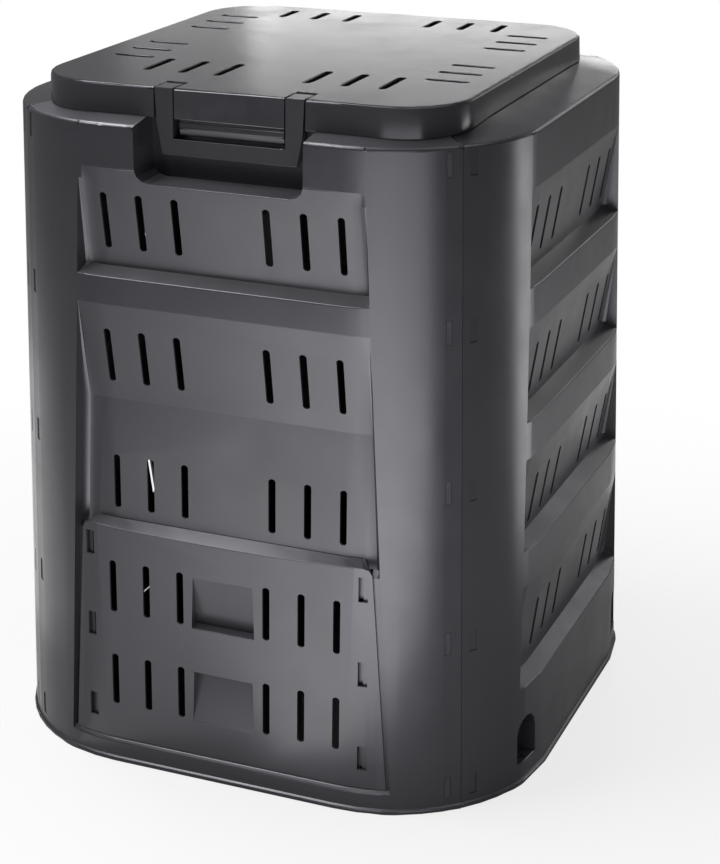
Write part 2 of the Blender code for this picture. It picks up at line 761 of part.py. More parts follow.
def front_wall(material):
    rows, low = front_rows()
    opening = (low - 1, low, low + 1, low + 2)
    half = pocket_columns(rows) + bay_columns(rows, opening) + corner_columns(rows)
    panel_column = len(pocket_columns(rows)) + 1

    def hole(i, j, count):
        """Hatch opening, with a wider mouth for the hooks above the rails."""
        from_middle = abs(i - count // 2)
        if j == low:
            return from_middle <= panel_column
        return j == low + 1 and from_middle <= panel_column + 1

    wall = mesh_object("front_wall", wall_body(rows, half, hole), material)
    pads = bmesh.new()
    add_corner_tabs(pads)
    add_side_prism(pads, catch_section(), -CATCH_HALF, CATCH_HALF)
    join_shape(wall, "pads", pads, "UNION")
    cuts = bmesh.new()
    add_corner_cuts(cuts)
    for k in range(FRONT_SLOT_ROWS):
        top = (FRONT_SLOT_TOP_SHARE - FRONT_SLOT_PITCH_SHARE * k) * WALL_TOP
        add_slot_row(cuts, top - FRONT_SLOT_LENGTH / 2, FRONT_SLOT_LENGTH,
                     -OVERRUN, FRONT_PANEL_DEPTH + SKIN + OVERRUN)
    join_shape(wall, "cuts", cuts, "DIFFERENCE")
    return wall


# Hatch

def hatch_edge(z):
    """Half width of the hatch at a height, inside the recess by a gap at each end."""
    foot = bay_edge(HATCH_FOOT) - HATCH_SIDE_GAP_FOOT
    top = bay_edge(HATCH_TOP) - HATCH_SIDE_GAP_TOP
    share = (z - HATCH_FOOT) / (HATCH_TOP - HATCH_FOOT)
    return foot + (top - foot) * share


def hatch_column(share, corner_drop, is_return):
    """Column of the hatch's plate with its bottom return and its top lip."""
    back = RAIL_DEPTH - RAIL_PLAY
    front = back if is_return else HATCH_DEPTH
    inner = back if is_return else HATCH_DEPTH + SKIN
    top = HATCH_TOP - HATCH_DIP * (1 - share * share) - corner_drop
    lip = HATCH_TOP + HATCH_LIP_RISE
    lip_depth = FRONT_PANEL_DEPTH - LIP_PLAY
    foot_u = hatch_edge(HATCH_FOOT) * share
    top_u = hatch_edge(HATCH_TOP) * share
    lip_u = (hatch_edge(HATCH_TOP) - HATCH_LIP_INSET + HATCH_CORNER) * share
    thin = SKIN if share == 1 else 0.0
    return [((foot_u, HATCH_FOOT, back), (foot_u - thin, HATCH_FOOT + SKIN, back)),
            ((foot_u, HATCH_FOOT, front), (foot_u - thin, HATCH_FOOT + SKIN, inner)),
            ((top_u, top, front), (top_u - thin, top - SKIN, inner)),
            ((lip_u, lip, lip_depth), (lip_u - thin, lip - SKIN, lip_depth))]


def hatch_body():
    half = [hatch_column(share, HATCH_CORNER * drop, False)
            for share, drop in zip(HATCH_COLUMN_SHARES, HATCH_DROP_SHARES)]
    half.append(hatch_column(1, HATCH_CORNER, True))
    columns = mirrored(half)[:-1] + half
    return skin_body(columns, lambda i, j: False, wall_point)


def add_hatch_hooks(bm):
    """Hooks that reach round the free edges of the rails."""
    root = RAIL_HALF - HOOK_INSET
    leg = root + HOOK_LEG
    tip = leg + HOOK_WINDOW - HOOK_TIP_GAP
    near = RAIL_DEPTH + SKIN + RAIL_PLAY
    far = near + HOOK_THICKNESS
    start = HATCH_DEPTH + SKIN - WELD
    profile = ((root, start), (leg, start), (leg, near), (tip, near), (tip, far), (root, far))
    half = HOOK_WINDOW_HEIGHT / 2 - HOOK_TIP_GAP
    for side in (-1, 1):
        for share in HOOK_CENTRE_SHARES:
            z = share * WALL_TOP
            add_prism(bm, [wall_point(side * u, z - half, depth) for u, depth in profile],
                      [wall_point(side * u, z + half, depth) for u, depth in profile])


def pull_outline(top, grow, deep_at_top):
    """Front and back corners of a finger pull's wedge, grown by a thickness."""
    low = top - PULL_HEIGHT
    front_depth = HATCH_DEPTH + WELD if grow else HATCH_DEPTH - OVERRUN
    rise = PULL_DEPTH / PULL_HEIGHT * OVERRUN
    shallow = HATCH_DEPTH + grow if grow else HATCH_DEPTH - rise
    deep = HATCH_DEPTH + PULL_DEPTH + grow
    high_z = top + grow
    low_z = low - grow
    if not grow and deep_at_top:
        low_z -= OVERRUN
    if not grow and not deep_at_top:
        high_z += OVERRUN
    high_u = PULL_HALF + grow
    low_u = PULL_HALF + PULL_FLARE + grow
    corners = ((-high_u, high_z), (high_u, high_z), (low_u, low_z), (-low_u, low_z))
    high_depth = deep if deep_at_top else shallow
    low_depth = shallow if deep_at_top else deep
    depths = (high_depth, high_depth, low_depth, low_depth)
    front = [wall_point(u, z, front_depth) for u, z in corners]
    back = [wall_point(u, z, depth) for (u, z), depth in zip(corners, depths)]
    return front, back


def add_pulls(bm, grow):
    for share, deep_at_top in ((UPPER_PULL_TOP_SHARE, False), (LOWER_PULL_TOP_SHARE, True)):
        front, back = pull_outline(share * WALL_TOP, grow, deep_at_top)
        add_prism(bm, front, back)


def add_hatch_cuts(bm):
    for k in range(HATCH_SLOT_ROWS):
        top = (HATCH_SLOT_TOP_SHARE - HATCH_SLOT_PITCH_SHARE * k) * WALL_TOP
        add_slot_row(bm, top - FRONT_SLOT_LENGTH / 2, FRONT_SLOT_LENGTH,
                     HATCH_DEPTH - OVERRUN, HATCH_DEPTH + SKIN + OVERRUN)
    near = RAIL_HALF - HOOK_INSET + HOOK_LEG
    half = HOOK_WINDOW_HEIGHT / 2
    for side in (-1, 1):
        for share in HOOK_CENTRE_SHARES:
            z = share * WALL_TOP
            low_u = min(side * near, side * (near + HOOK_WINDOW))
            add_wall_prism(bm, rectangle(low_u, low_u + HOOK_WINDOW, z - half, z + half),
                           HATCH_DEPTH - OVERRUN, HATCH_DEPTH + SKIN + WELD)


def hatch(material):
    door = mesh_object("hatch", hatch_body(), material)
    pads = bmesh.new()
    add_hatch_hooks(pads)
    add_pulls(pads, SKIN)
    join_shape(door, "pads", pads, "UNION")
    cuts = bmesh.new()
    add_hatch_cuts(cuts)
    add_pulls(cuts, 0.0)
    join_shape(door, "cuts", cuts, "DIFFERENCE")
    return door


# Lid

def lid_outline(grow):
    """Rounded rectangle of the lid seen from above, grown all round."""
    radius = LID_CORNER + grow
    side = LID_HALF - LID_CORNER
    front = LID_FRONT - LID_CORNER
    rear = LID_REAR - LID_CORNER
    half = LID_HALF + grow
    low = -LID_FRONT - grow
    high = LID_REAR + grow
    flat_x = min(FLAT_HALF, LID_FLAT_SHARE * side)
    flat_y = min(FLAT_HALF, LID_FLAT_SHARE * min(front, rear))
    return (arc((side, -front), radius, -90, 0, ARC_STEPS) + [(half, -flat_y), (half, flat_y)]
            + arc((side, rear), radius, 0, 90, ARC_STEPS) + [(flat_x, high), (-flat_x, high)]
            + arc((-side, rear), radius, 90, 180, ARC_STEPS) + [(-half, flat_y), (-half, -flat_y)]
            + arc((-side, -front), radius, 180, 270, ARC_STEPS) + [(-flat_x, low), (flat_x, low)])


def lid_seat(grow):
    """Lower edge of the lid's skirt, which follows the shoulder all round."""
    return [(x, y, shoulder_z(crown_inset(x, y)) + LID_SEAT_GAP) for x, y in lid_outline(grow)]


def lid_body():
    flare = LEAN_SLOPE * LID_HEIGHT
    rings = [lid_seat(flare - SKIN), lid_seat(flare)]
    for k in range(FILLET_STEPS + 1):
        angle = math.pi / 2 * k / FILLET_STEPS
        z = LID_TOP - LID_EDGE_RADIUS * (1 - math.sin(angle))
        inset = LID_EDGE_RADIUS * (1 - math.cos(angle))
        rings.append([(x, y, z) for x, y in lid_outline(-inset)])
    rings.insert(0, [(x, y, LID_TOP - SKIN) for x, y in lid_outline(-SKIN)])
    bm = bmesh.new()
    loops = [[bm.verts.new(point) for point in ring] for ring in rings]
    count = len(loops[0])
    for lower, upper in zip(loops, loops[1:]):
        for k in range(count):
            after = (k + 1) % count
            bm.faces.new((lower[k], lower[after], upper[after], upper[k]))
    bm.faces.new(loops[-1])
    bm.faces.new(reversed(loops[0]))
    return bm


def clasp_front(z):
    """Place along Y of the clasp's front face, flush with the lid's skirt."""
    return -LID_FRONT - LEAN_SLOPE * (LID_TOP - z)


def add_clasp_notch_pans(bm):
    """Walls behind and beside the notches that take the clasp's arms."""
    back = CLASP_THICKNESS + CLASP_SEAT_GAP + SKIN
    rear = PIVOT_Y + CLASP_PIVOT_RADIUS + CLASP_REAR_GAP + SKIN
    floor = PIVOT_Z - CLASP_PIVOT_RADIUS - CLASP_SEAT_GAP - SKIN
    foot = WALL_TOP + SHOULDER_FILLET
    top = LID_TOP - WELD
    outline = [(clasp_front(top) + WELD, top), (rear, top), (rear, floor),
               (clasp_front(floor) + back, floor), (clasp_front(foot) + back, foot),
               (clasp_front(foot) + WELD, foot)]
    near = CLASP_INNER_HALF - CLASP_SIDE_GAP - SKIN
    far = CLASP_TOP_HALF + CLASP_SIDE_GAP + SKIN
    add_side_prism(bm, outline, near, far)
    add_side_prism(bm, outline, -far, -near)


def add_clasp_notches(bm):
    back = CLASP_THICKNESS + CLASP_SEAT_GAP
    rear = PIVOT_Y + CLASP_PIVOT_RADIUS + CLASP_REAR_GAP
    floor = PIVOT_Z - CLASP_PIVOT_RADIUS - CLASP_SEAT_GAP
    foot = WALL_TOP - OVERRUN
    top = LID_TOP + OVERRUN
    outside = clasp_front(foot) - OVERRUN
    outline = [(outside, top), (rear, top), (rear, floor), (clasp_front(floor) + back, floor),
               (clasp_front(foot) + back, foot), (outside, foot)]
    near = CLASP_INNER_HALF - CLASP_SIDE_GAP
    far = CLASP_TOP_HALF + CLASP_SIDE_GAP
    add_side_prism(bm, outline, near, far)
    add_side_prism(bm, outline, -far, -near)


def add_lid_hooks(bm):
    """Hooks at the rear edge that clip round the hinge pins."""
    start = LID_REAR - WELD
    head = arc((HINGE_Y, HINGE_Z), HINGE_RADIUS, -90, 90, ARC_STEPS)
    outline = head + [(start, HINGE_Z + HINGE_RADIUS), (start, HINGE_Z - HINGE_RADIUS)]
    half = HINGE_HOOK_WIDTH / 2
    for side in (-1, 1):
        place = side * HINGE_PLACE
        add_side_prism(bm, outline, place - half, place + half)


def add_hook_bores(bm):
    """Bore of each hook with the mouth that snaps over the pin from above."""
    bore = HINGE_PIN_RADIUS + HINGE_PIN_GAP
    half_mouth = HINGE_MOUTH / 2
    drop = math.degrees(math.acos(half_mouth / bore))
    ring = arc((HINGE_Y, HINGE_Z), bore, -drop, 180 + drop, ROUND_STEPS)
    low = HINGE_Z - HINGE_RADIUS - OVERRUN
    outline = ring + [(HINGE_Y - half_mouth, low), (HINGE_Y + half_mouth, low)]
    half = HINGE_HOOK_WIDTH / 2 + OVERRUN
    for side in (-1, 1):
        place = side * HINGE_PLACE
        add_side_prism(bm, outline, place - half, place + half)


def add_clasp_bores(bm):
    bore = circle((PIVOT_Y, PIVOT_Z), CLASP_PIN_RADIUS + CLASP_PIN_GAP)
    near = CLASP_TOP_HALF
    far = CLASP_TOP_HALF + CLASP_SIDE_GAP + SKIN + WELD
    add_side_prism(bm, bore, near, far)
    add_side_prism(bm, bore, -far, -near)


def add_lid_slot(bm, x, y, width, length):
    outline = slot_outline(x, y, width, length, SLOT_CORNER)
    add_prism(bm, [(px, py, LID_TOP - SKIN - OVERRUN) for px, py in outline],
              [(px, py, LID_TOP + OVERRUN) for px, py in outline])


def add_lid_slots(bm):
    """Vent slots in groups of three along all four edges of the lid."""
    front_length = LID_FRONT_SLOT_SHARE * FACE_HALF
    rear_length = LID_REAR_SLOT_SHARE * FACE_HALF
    side_length = LID_SIDE_SLOT_SHARE * FACE_HALF
    front_y = -LID_FRONT + LID_FRONT_SLOT_INSET_SHARE * FACE_HALF + front_length / 2
    rear_y = LID_REAR - LID_REAR_SLOT_INSET_SHARE * FACE_HALF - rear_length / 2
    side_x = LID_HALF - LID_SIDE_SLOT_INSET_SHARE * FACE_HALF - side_length / 2
    for side in (-1, 1):
        for k in range(SLOTS_PER_GROUP):
            place = side * (SLOT_FIRST + SLOT_PITCH * k)
            add_lid_slot(bm, place, front_y, SLOT_WIDTH, front_length)
            add_lid_slot(bm, place, rear_y, SLOT_WIDTH, rear_length)
            y = LID_SIDE_SLOT_SHIFT_SHARE * FACE_HALF + place
            add_lid_slot(bm, side_x, y, side_length, SLOT_WIDTH)
            add_lid_slot(bm, -side_x, y, side_length, SLOT_WIDTH)


def lid(material):
    cover = mesh_object("lid", lid_body(), material, origin=(0, HINGE_Y, HINGE_Z))
    pads = bmesh.new()
    add_clasp_notch_pans(pads)
    add_lid_hooks(pads)
    join_shape(cover, "pads", pads, "UNION")
    cuts = bmesh.new()
    add_clasp_notches(cuts)
    add_hook_bores(cuts)
    add_lid_slots(cuts)
    join_shape(cover, "cuts", cuts, "DIFFERENCE")
    bores = bmesh.new()
    add_clasp_bores(bores)
    join_shape(cover, "clasp_bores", bores, "DIFFERENCE")
    return cover


# Clasp

def clasp_frame():
    """Two arms and the bar between them, in a plane that leans with the lid's skirt."""
    foot = LID_TOP - CLASP_DROP
    foot_half = CLASP_TOP_HALF - CLASP_FOOT_SETBACK
    waist_half = CLASP_TOP_HALF - CLASP_WAIST_SHARE * CLASP_FOOT_SETBACK
    waist = LID_TOP - LID_HEIGHT
    half = ((CLASP_INNER_HALF, CLASP_BAR_TOP), (CLASP_INNER_HALF, LID_TOP),
            (CLASP_TOP_HALF, LID_TOP), (waist_half, waist), (foot_half, foot))
    outline = list(half) + [(-x, z) for x, z in reversed(half)]
    front = [(x, clasp_front(z), z) for x, z in outline]
    back = []
    for x, z in outline:
        slope = CLASP_BAR_DROP if z == CLASP_BAR_TOP else 0.0
        back.append((x, clasp_front(z) + CLASP_THICKNESS, z - slope))
    bm = bmesh.new()
    add_prism(bm, front, back)
    return bm


def add_clasp_returns(bm):
    """Flat arms on the lid's top that reach back to the pivots."""
    start = -LID_FRONT + CLASP_THICKNESS / 2
    floor = PIVOT_Z - CLASP_PIVOT_RADIUS
    outline = ([(start, floor)]
               + arc((PIVOT_Y, PIVOT_Z), CLASP_PIVOT_RADIUS, -90, CLASP_RETURN_TURN,
                     ARC_STEPS)
               + [(PIVOT_Y - CLASP_TOP_SETBACK, LID_TOP), (start, LID_TOP)])
    add_side_prism(bm, outline, CLASP_INNER_HALF, CLASP_TOP_HALF)
    add_side_prism(bm, outline, -CLASP_TOP_HALF, -CLASP_INNER_HALF)


def add_clasp_pins(bm):
    ring = circle((PIVOT_Y, PIVOT_Z), CLASP_PIN_RADIUS)
    near = CLASP_TOP_HALF - WELD
    far = CLASP_TOP_HALF + CLASP_PIN_REACH
    add_side_prism(bm, ring, near, far)
    add_side_prism(bm, ring, -far, -near)


def clasp(material):
    handle = mesh_object("clasp_handle", clasp_frame(), material, origin=(0, PIVOT_Y, PIVOT_Z))
    returns = bmesh.new()
    add_clasp_returns(returns)
    join_shape(handle, "returns", returns, "UNION")
    pins = bmesh.new()
    add_clasp_pins(pins)
    join_shape(handle, "pins", pins, "UNION")
    return handle


def build():
    clear_scene()
    body = plastic("body_plastic", DARK_GREY, BODY_ROUGHNESS)
    cover = plastic("lid_plastic", LID_GREY, LID_ROUGHNESS)
    grip = plastic("clasp_plastic", CLASP_GREY, BODY_ROUGHNESS)
    front_wall(body)
    side_wall("right_wall", body, math.pi / 2)
    back_wall(body)
    side_wall("left_wall", body, -math.pi / 2)
    hatch(body)
    top = lid(cover)
    handle = clasp(grip)
    handle.parent = top
    handle.location = handle.location - top.location


build()
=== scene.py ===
"""Looks of the garden compost bin: moulded plastic finishes and softened edges on the
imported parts, a pale floor, soft studio light and the photograph's camera."""

import math

import bpy
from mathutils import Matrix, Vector


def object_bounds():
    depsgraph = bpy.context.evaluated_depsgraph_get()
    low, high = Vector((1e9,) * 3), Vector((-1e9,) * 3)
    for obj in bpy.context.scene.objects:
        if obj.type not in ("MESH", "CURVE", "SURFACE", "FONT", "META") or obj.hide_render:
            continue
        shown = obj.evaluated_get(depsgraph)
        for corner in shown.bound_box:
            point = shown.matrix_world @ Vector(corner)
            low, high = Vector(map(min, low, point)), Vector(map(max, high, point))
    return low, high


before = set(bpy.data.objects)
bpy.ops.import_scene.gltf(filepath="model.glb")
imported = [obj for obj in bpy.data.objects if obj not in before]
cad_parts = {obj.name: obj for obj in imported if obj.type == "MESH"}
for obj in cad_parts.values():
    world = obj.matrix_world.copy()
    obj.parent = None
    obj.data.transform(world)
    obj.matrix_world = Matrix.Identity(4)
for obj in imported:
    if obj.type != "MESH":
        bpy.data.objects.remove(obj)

CAD_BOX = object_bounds()

WALLS = ("front_wall", "right_wall", "back_wall", "left_wall")

# Camera: place in metres, angles in radians, lens and sensor in millimetres
CAMERA_PLACE = (1.0095, -2.3630, 1.3434)
CAMERA_PITCH = 0.3702
CAMERA_YAW = 0.3892
CAMERA_LENS = 85.1
CAMERA_SENSOR = 36.0

# Floor. Its share of plain white grows over the fade's span of distances.
WHITE = (1.0, 1.0, 1.0, 1.0)
FLOOR_HALF = 14.0
FLOOR_COLOUR = (0.93, 0.93, 0.935)
FLOOR_ROUGHNESS = (0.32, 0.38)
FADE_SPAN = (0.45, 1.25)
FADE_WHITE = (0.75, 1.0)

# Painted shade on the floor within the foot of the walls, a square with round corners
FOOT_HALF = CAD_BOX[1][0]
PAINTED_SHADE_COLOUR = (0.02, 0.02, 0.021)
SHADE_INSET = 0.0045
SHADE_ROUND = 0.2035
SHADE_CORE = FOOT_HALF - SHADE_INSET - SHADE_ROUND
SHADE_BLUR = 0.004

# Lights that fall on everything: name, place, aim, width, height and radiance
LIGHTS = (
    ("over_left", (-0.85, -0.50, 2.3), (0.0, -0.50, 0.0), 1.6, 0.7, 13.0),
    ("over_right", (0.7, 0.1, 2.3), (0.1, 0.0, 0.4), 0.7, 1.2, 3.0),
    ("rear_soft", (-0.72, 3.0, 1.03), (0.0, 0.0, 0.86), 1.5, 0.62, 4.2),
    ("rear_left_soft", (-1.70, 3.0, 1.03), (0.0, 0.0, 0.86), 0.45, 0.62, 1.6),
)
WORLD_STRENGTH = 0.2

# Reflector cards that light the bin alone. The level ones face up: name, centre, turn,
# width, length and radiance. The standing ones are listed as the lights are.
CARD_HEIGHT = 0.004
FRONT_TURN = math.radians(-35)
LEVEL_CARDS = (
    ("front_card", (0.318, -1.711), FRONT_TURN, 1.92, 1.75, 4.2),
    ("front_left_card", (-0.576, -1.086), FRONT_TURN, 0.26, 1.60, 0.8),
    ("left_card", (-1.30, 0.10), 0.0, 1.50, 1.20, 0.7),
    ("rear_card", (-0.30, 1.45), 0.0, 1.40, 1.50, 0.9),
)
STANDING_CARDS = (
    ("right_card", (1.0, 0.38, 0.36), (0.0, 0.38, 0.36), 0.36, 0.74, 5.2),
    ("corner_card", (0.40, -0.75, 0.41), (0.40, 0.0, 0.41), 0.60, 0.80, 2.9),
    ("rear_edge_card", (1.15, 2.5, 1.55), (0.33, 0.0, 0.5), 1.3, 1.0, 2.3),
    ("edge_card", (-0.85, -0.75, 2.3), (0.0, -0.75, 0.0), 1.1, 0.7, 20.0),
)

# Lamp for the ledges and the hatch's upper lip, that the wall and lid above don't shade
LEDGE_LIGHT = ("ledge_light", (-0.88, 0.25, 2.3), (0.0, 0.25, 0.0), 1.3, 0.7, 13.0)
LEDGE_NODES = ("front_wall", "hatch")

# Creases. A level edge climbs by less than the level rise in each unit of its length.
WELD_DISTANCE = 0.00002
LEVEL_RISE = 0.3
LEVEL_ANGLE = math.radians(6)
LID_LEVEL_ANGLE = math.radians(13)
CONVEX_ANGLE = math.radians(16)
CONCAVE_ANGLE = math.radians(32)

# Softened edges: shortest edge and width of the bevels
SOFT_LENGTH = 0.012
WALL_BEVEL = 0.0014
HATCH_BEVEL = 0.0008
LID_BEVEL = 0.0012
CLASP_BEVEL = 0.0012
BEVEL_SEGMENTS = 2

# Plastics: colour, lowest and highest roughness, and how worn edges differ; their paling is
# partly wear and partly a painted highlight
WALL_COLOUR = (0.0125, 0.0120, 0.0140)
LID_COLOUR = (0.0135, 0.0130, 0.0150)
CLASP_COLOUR = (0.0110, 0.0106, 0.0122)
WALL_ROUGHNESS = (0.275, 0.355)
LID_ROUGHNESS = (0.175, 0.255)
CLASP_ROUGHNESS = WALL_ROUGHNESS
WEAR_AND_HIGHLIGHT_GAIN = 2.1
WORN_ROUGHNESS = 0.08
PLASTIC_IOR = 1.45
SHEEN_TINT = (0.94, 0.92, 1.0, 1.0)

# Noise patterns: size in metres, detail and roughness
MOTTLE = (0.045, 5.0, 0.62)
CLOUDS = (0.34, 2.0, 0.5)
PATCHES = (0.018, 4.0, 0.7)
STREAKS = (0.07, 3.0, 0.6)
WAVES = (0.16, 1.0, 0.5)
GRAIN = (0.0011, 3.0, 0.65)
SPECKLE = (0.012, 3.0, 0.5)
WAVE_DEPTH = 0.00009
GRAIN_DEPTH = 0.000012

# Spans that the noise and the sharpness of edges are read over, and how far each pales
# the plastic
NOISE_SPAN = (0.3, 0.7)
MOTTLE_PALING = (0.0, 0.121)
CLOUD_SHARE = (0.5, 1.0)
# Sharp edges pale partly as wear and partly as a painted highlight
EDGE_SPAN = (0.56, 0.66)
EDGE_PALING = (0.0, 0.6)
PATCH_SPAN = (0.35, 0.62)
PATCH_SHARE = (0.15, 1.0)


# Node helpers

def fill(tree, node, inputs):
    """Link a node's inputs to the sockets given for them, or set them to plain values."""
    for key, value in inputs.items():
        if isinstance(value, bpy.types.NodeSocket):
            tree.links.new(value, node.inputs[key])
        else:
            node.inputs[key].default_value = value


def add_node(tree, kind, inputs):
    node = tree.nodes.new(kind)
    fill(tree, node, inputs)
    return node


def combine(tree, operation, first, second):
    node = add_node(tree, "ShaderNodeMath", {0: first, 1: second})
    node.operation = operation
    return node.outputs["Value"]


def vector(tree, operation, first, second=(0.0, 0.0, 0.0)):
    """Vector Math node; some of its operations take the first vector alone."""
    node = add_node(tree, "ShaderNodeVectorMath", {0: first, 1: second})
    node.operation = operation
    return node.outputs["Vector"]


def distance(tree, value):
    """Length of a vector."""
    node = add_node(tree, "ShaderNodeVectorMath", {0: value})
    node.operation = "LENGTH"
    return node.outputs["Value"]


def remap(tree, value, span, result):
    """Value carried from one span to another and held at the ends."""
    node = add_node(tree, "ShaderNodeMapRange", {
        "Value": value, "From Min": span[0], "From Max": span[1],
        "To Min": result[0], "To Max": result[1],
    })
    return node.outputs["Result"]


def noise(tree, place, size, detail, roughness):
    node = add_node(tree, "ShaderNodeTexNoise", {
        "Vector": place, "Scale": 1.0 / size, "Detail": detail, "Roughness": roughness,
    })
    return node.outputs["Fac"]


def mix_colour(tree, factor, first, second):
    node = tree.nodes.new("ShaderNodeMix")
    node.data_type = "RGBA"
    fill(tree, node, {"Factor": factor, "A": (*first, 1.0), "B": (*second, 1.0)})
    return node.outputs["Result"]


def seen_ray(tree):
    """One for camera rays, else zero."""
    return tree.nodes.new("ShaderNodeLightPath").outputs["Is Camera Ray"]


# Materials

def moulded_plastic(name, colour, roughness):
    """Dark moulded plastic: fine eroded grain, faint flow mottling, paler edges that are partly
    rubbed wear and partly a painted highlight, and long shallow waves that keep its reflections
    from being perfect."""
    material = bpy.data.materials.new(name)
    material.use_nodes = True
    tree = material.node_tree
    place = tree.nodes.new("ShaderNodeTexCoord").outputs["Object"]
    pointiness = tree.nodes.new("ShaderNodeNewGeometry").outputs["Pointiness"]

    mottle = remap(tree, noise(tree, place, *MOTTLE), NOISE_SPAN, MOTTLE_PALING)
    clouds = remap(tree, noise(tree, place, *CLOUDS), NOISE_SPAN, CLOUD_SHARE)
    # Paler sharp edges: partly rubbed wear, partly a painted highlight
    rubbed_and_highlight = remap(tree, pointiness, EDGE_SPAN, EDGE_PALING)
    patches = remap(tree, noise(tree, place, *PATCHES), PATCH_SPAN, PATCH_SHARE)
    edge = combine(tree, "MULTIPLY", rubbed_and_highlight, patches)
    worn_and_highlight = combine(tree, "MAXIMUM", combine(tree, "MULTIPLY", mottle, clouds), edge)
    paler = tuple(channel * WEAR_AND_HIGHLIGHT_GAIN for channel in colour)

    uneven = remap(tree, noise(tree, place, *STREAKS), NOISE_SPAN, roughness)
    rougher = combine(tree, "MULTIPLY", edge, WORN_ROUGHNESS)

    waves = add_node(tree, "ShaderNodeBump", {
        "Height": noise(tree, place, *WAVES), "Distance": WAVE_DEPTH,
    })
    grain = add_node(tree, "ShaderNodeBump", {
        "Height": noise(tree, place, *GRAIN), "Distance": GRAIN_DEPTH,
        "Normal": waves.outputs["Normal"],
    })
    fill(tree, tree.nodes["Principled BSDF"], {
        "Base Color": mix_colour(tree, worn_and_highlight, colour, paler),
        "Roughness": combine(tree, "ADD", uneven, rougher),
        "Normal": grain.outputs["Normal"],
        "IOR": PLASTIC_IOR,
        "Specular Tint": SHEEN_TINT,
    })
    return material


def floor_material():
    """Pale floor, painted dark as shade within the bin's foot, that takes the shadow near the
    bin and fades to plain white around it, as the camera sees it."""
    material = bpy.data.materials.new("pale_floor")
    material.use_nodes = True
    tree = material.node_tree
    place = tree.nodes.new("ShaderNodeTexCoord").outputs["Object"]

    # Painted shade: the floor within the bin's foot is painted dark, blurred at its rim
    past_core = vector(tree, "SUBTRACT", vector(tree, "ABSOLUTE", place),
                       (SHADE_CORE, SHADE_CORE, 0.0))
    away = distance(tree, vector(tree, "MAXIMUM", past_core, (0.0, 0.0, 0.0)))
    outside = remap(tree, away, (SHADE_ROUND - SHADE_BLUR, SHADE_ROUND), (0.0, 1.0))
    speckle = noise(tree, place, *SPECKLE)
    shader = tree.nodes["Principled BSDF"]
    fill(tree, shader, {
        "Base Color": mix_colour(tree, outside, PAINTED_SHADE_COLOUR, FLOOR_COLOUR),
        "Roughness": remap(tree, speckle, NOISE_SPAN, FLOOR_ROUGHNESS),
    })

    fade = remap(tree, distance(tree, place), FADE_SPAN, FADE_WHITE)
    fade = combine(tree, "MULTIPLY", fade, outside)
    fade = combine(tree, "MULTIPLY", fade, seen_ray(tree))
    glow = add_node(tree, "ShaderNodeEmission", {"Color": WHITE})
    mixed = add_node(tree, "ShaderNodeMixShader", {
        0: fade, 1: shader.outputs["BSDF"], 2: glow.outputs["Emission"],
    })
    fill(tree, tree.nodes["Material Output"], {"Surface": mixed.outputs["Shader"]})
    return material


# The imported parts

def compare(group, value, operation, limit):
    node = add_node(group, "FunctionNodeCompare", {0: value, 1: limit})
    node.operation = operation
    return node.outputs["Result"]


def logic(group, operation, first, second):
    node = add_node(group, "FunctionNodeBooleanMath", {0: first, 1: second})
    node.operation = operation
    return node.outputs["Boolean"]


def edge_choice(group, level_angle):
    """Which edges are creases, and which of those are softened. A level crease is sharper
    than the level angle, and an upright one is sharper than the convex or concave angle.
    The long level ones that point outwards are softened."""
    ends = group.nodes.new("GeometryNodeInputMeshEdgeVertices").outputs
    along = vector(group, "SUBTRACT", ends["Position 2"], ends["Position 1"])
    climb = vector(group, "ABSOLUTE", vector(group, "NORMALIZE", along))
    rise = add_node(group, "ShaderNodeSeparateXYZ", {"Vector": climb}).outputs["Z"]
    bend = group.nodes.new("GeometryNodeInputMeshEdgeAngle").outputs
    angle = bend["Signed Angle"]

    level = compare(group, rise, "LESS_THAN", LEVEL_RISE)
    crisp = compare(group, bend["Unsigned Angle"], "GREATER_THAN", level_angle)
    crisp = logic(group, "AND", level, crisp)
    outer = compare(group, angle, "GREATER_THAN", CONVEX_ANGLE)
    inner = compare(group, angle, "LESS_THAN", -CONCAVE_ANGLE)
    creases = logic(group, "OR", crisp, logic(group, "OR", outer, inner))

    long = compare(group, distance(group, along), "GREATER_THAN", SOFT_LENGTH)
    convex = compare(group, angle, "GREATER_THAN", 0.0)
    softened = logic(group, "AND", crisp, logic(group, "AND", long, convex))
    return creases, softened


def edge_group(name, level_angle):
    """Node group that shades a welded mesh smooth between its creases and gives the edges
    to be softened their bevel weight."""
    group = bpy.data.node_groups.new(name, "GeometryNodeTree")
    for direction in ("INPUT", "OUTPUT"):
        group.interface.new_socket("Geometry", in_out=direction,
                                   socket_type="NodeSocketGeometry")
    creases, softened = edge_choice(group, level_angle)
    source = group.nodes.new("NodeGroupInput")
    smooth = add_node(group, "GeometryNodeSetMeshNormal", {
        "Mesh": source.outputs["Geometry"], "Remove Custom": True,
    })
    creased = add_node(group, "GeometryNodeSetShadeSmooth", {
        "Geometry": smooth.outputs["Mesh"], "Selection": creases, "Shade Smooth": False,
    })
    creased.domain = "EDGE"
    weighted = add_node(group, "GeometryNodeStoreNamedAttribute", {
        "Geometry": creased.outputs["Geometry"], "Name": "bevel_weight_edge",
        "Value": softened,
    })
    weighted.domain = "EDGE"
    add_node(group, "NodeGroupOutput", {"Geometry": weighted.outputs["Geometry"]})
    return group


